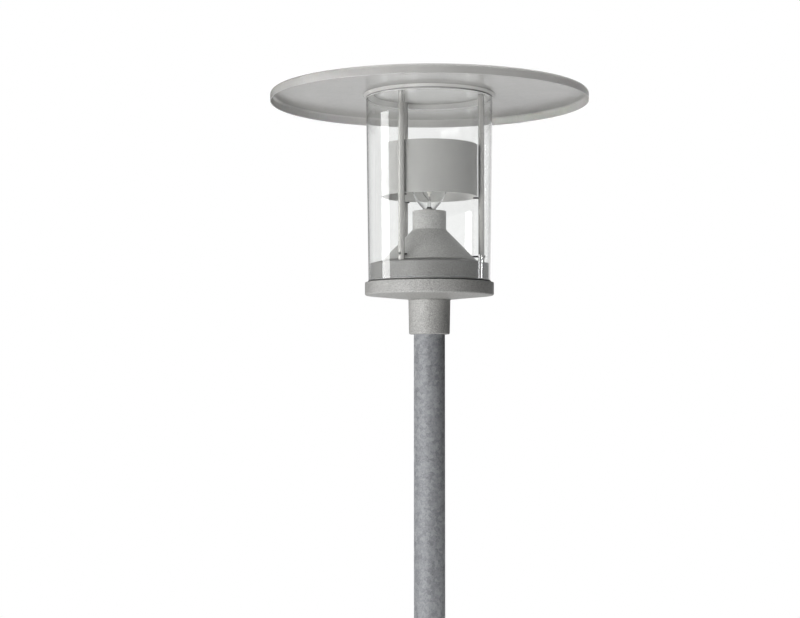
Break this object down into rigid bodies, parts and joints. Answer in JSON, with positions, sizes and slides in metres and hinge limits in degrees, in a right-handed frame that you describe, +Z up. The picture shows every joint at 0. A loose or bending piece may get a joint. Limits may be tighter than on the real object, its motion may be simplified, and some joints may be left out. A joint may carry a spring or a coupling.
{
  "type": "street lamp post",
  "caption": "Park lantern with a wide flat disc shade over a clear cylinder, a reflector band and a cone-covered lamp base, on a straight galvanised post with a base plate.",
  "frame": {"origin": "centre of the base plate's underside, on the ground", "axes": "+Z up along the post; -Y is the side the picture shows; +X to the right in the picture"},
  "size_m": [0.618, 0.618, 3.4112],
  "materials": {
    "galvanised": "hot-dip galvanised, faint spangle, matt",
    "grey_paint": "warm grey paint on cast and spun aluminium, semi-gloss",
    "stainless": "plain stainless steel",
    "dark_steel": "blackened steel pins",
    "seal_rubber": "black rubber",
    "clear_glass": "clear, smooth",
    "lamp_glass": "thin clear bulb glass",
    "brass": "bright brass",
    "ceramic": "white glazed ceramic",
    "black_plastic": "matt black",
    "grey_plastic": "matt grey",
    "white_plastic": "matt white"
  },
  "bodies": {
    "post": {"base_plate": "galvanised", "pole_tube": "galvanised"},
    "head": {"head_casting": "grey_paint", "set_screw_right": "stainless", "set_screw_left": "stainless", "lower_gasket": "seal_rubber", "gear_tray": "stainless", "ballast": "black_plastic", "capacitor": "grey_plastic", "ignitor": "black_plastic", "terminal_block": "white_plastic", "cable_gland": "black_plastic", "cone_cover": "grey_paint", "tie_rod_right": "grey_paint", "tie_rod_back": "grey_paint", "tie_rod_front": "grey_paint", "reflector_pin_right": "dark_steel", "reflector_pin_back": "dark_steel", "reflector_pin_front": "dark_steel", "cover_pin_right": "dark_steel", "cover_pin_back": "dark_steel", "cover_pin_front": "dark_steel", "lampholder": "ceramic", "lampholder_bracket": "stainless"},
    "reflector": {"reflector": "grey_paint"},
    "contact": {"centre_contact": "brass"},
    "lamp": {"lamp_cap": "brass", "lamp_bulb": "lamp_glass", "lamp_stem": "lamp_glass", "arc_tube": "ceramic", "lead_wire_short": "stainless", "lead_wire_long": "stainless"},
    "glass": {"clear_cylinder": "clear_glass", "upper_gasket": "seal_rubber"},
    "shade": {"shade": "grey_paint", "seat_ring": "grey_paint", "cap_nut_right": "stainless", "cap_nut_back": "stainless", "cap_nut_front": "stainless", "nut_washer_right": "stainless", "nut_washer_back": "stainless", "nut_washer_front": "stainless"}
  },
  "joints": [
    {"name": "head_turn", "type": "hinge", "parent": "post", "child": "head", "pos_m": [0, 0, 3.0306], "axis": [0, 0, 1], "range_deg": [-180, 180]},
    {"name": "reflector_lift", "type": "slide", "parent": "head", "child": "reflector", "axis": [0, 0, 1], "range_m": [0, 0.085]},
    {"name": "contact_press", "type": "slide", "parent": "head", "child": "contact", "axis": [0, 0, 1], "range_m": [0, 0.00291]},
    {"name": "lamp_turn", "type": "hinge", "parent": "contact", "child": "lamp", "pos_m": [0, 0, 3.173], "axis": [0, 0, 1], "range_deg": [0, 288]},
    {"name": "glass_lift", "type": "slide", "parent": "head", "child": "glass", "axis": [0, 0, 1], "range_m": [0, 0.385]},
    {"name": "shade_lift", "type": "slide", "parent": "glass", "child": "shade", "axis": [0, 0, 1], "range_m": [0, 0.06]}
  ],
  "couplings": [
    {"joint": "contact_press", "follows": "lamp_turn", "m_per_rad": 0.00057773}
  ]
}
